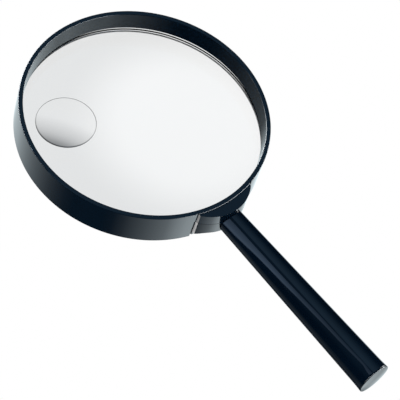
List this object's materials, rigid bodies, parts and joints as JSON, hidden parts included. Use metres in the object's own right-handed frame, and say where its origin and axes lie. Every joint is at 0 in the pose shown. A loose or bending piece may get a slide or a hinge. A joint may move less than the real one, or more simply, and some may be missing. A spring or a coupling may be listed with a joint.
{
  "type": "magnifying glass",
  "caption": "Hand-held reading magnifier: round lens with a small stronger segment in a thin glossy plastic ring, on a straight tapered round handle.",
  "frame": {"origin": "centre of the whole footprint, on the table the ring lies on", "axes": "+X along the handle, away from the ring; +Z out of the front of the lens; +Y to the left seen from behind the handle"},
  "size_m": [0.174, 0.0924, 0.014],
  "materials": {
    "ring_black": "high-gloss black plastic with a faint blue cast, moulded",
    "handle_black": "high-gloss blue-black plastic, moulded",
    "lens_clear": "polished clear optical acrylic",
    "zinc_steel": "zinc-plated steel"
  },
  "bodies": {
    "frame": {"front_frame": "ring_black", "rear_frame": "ring_black", "captive_nut": "zinc_steel", "handle_screw": "zinc_steel", "screw_washer": "zinc_steel", "handle": "handle_black", "end_cap": "handle_black"},
    "lens": {"lens": "lens_clear"}
  },
  "joints": [
    {"name": "lens_turn", "type": "hinge", "parent": "frame", "child": "lens", "pos_m": [-0.04075, 0, 0.006], "axis": [0, 0, 1], "continuous": true}
  ]
}
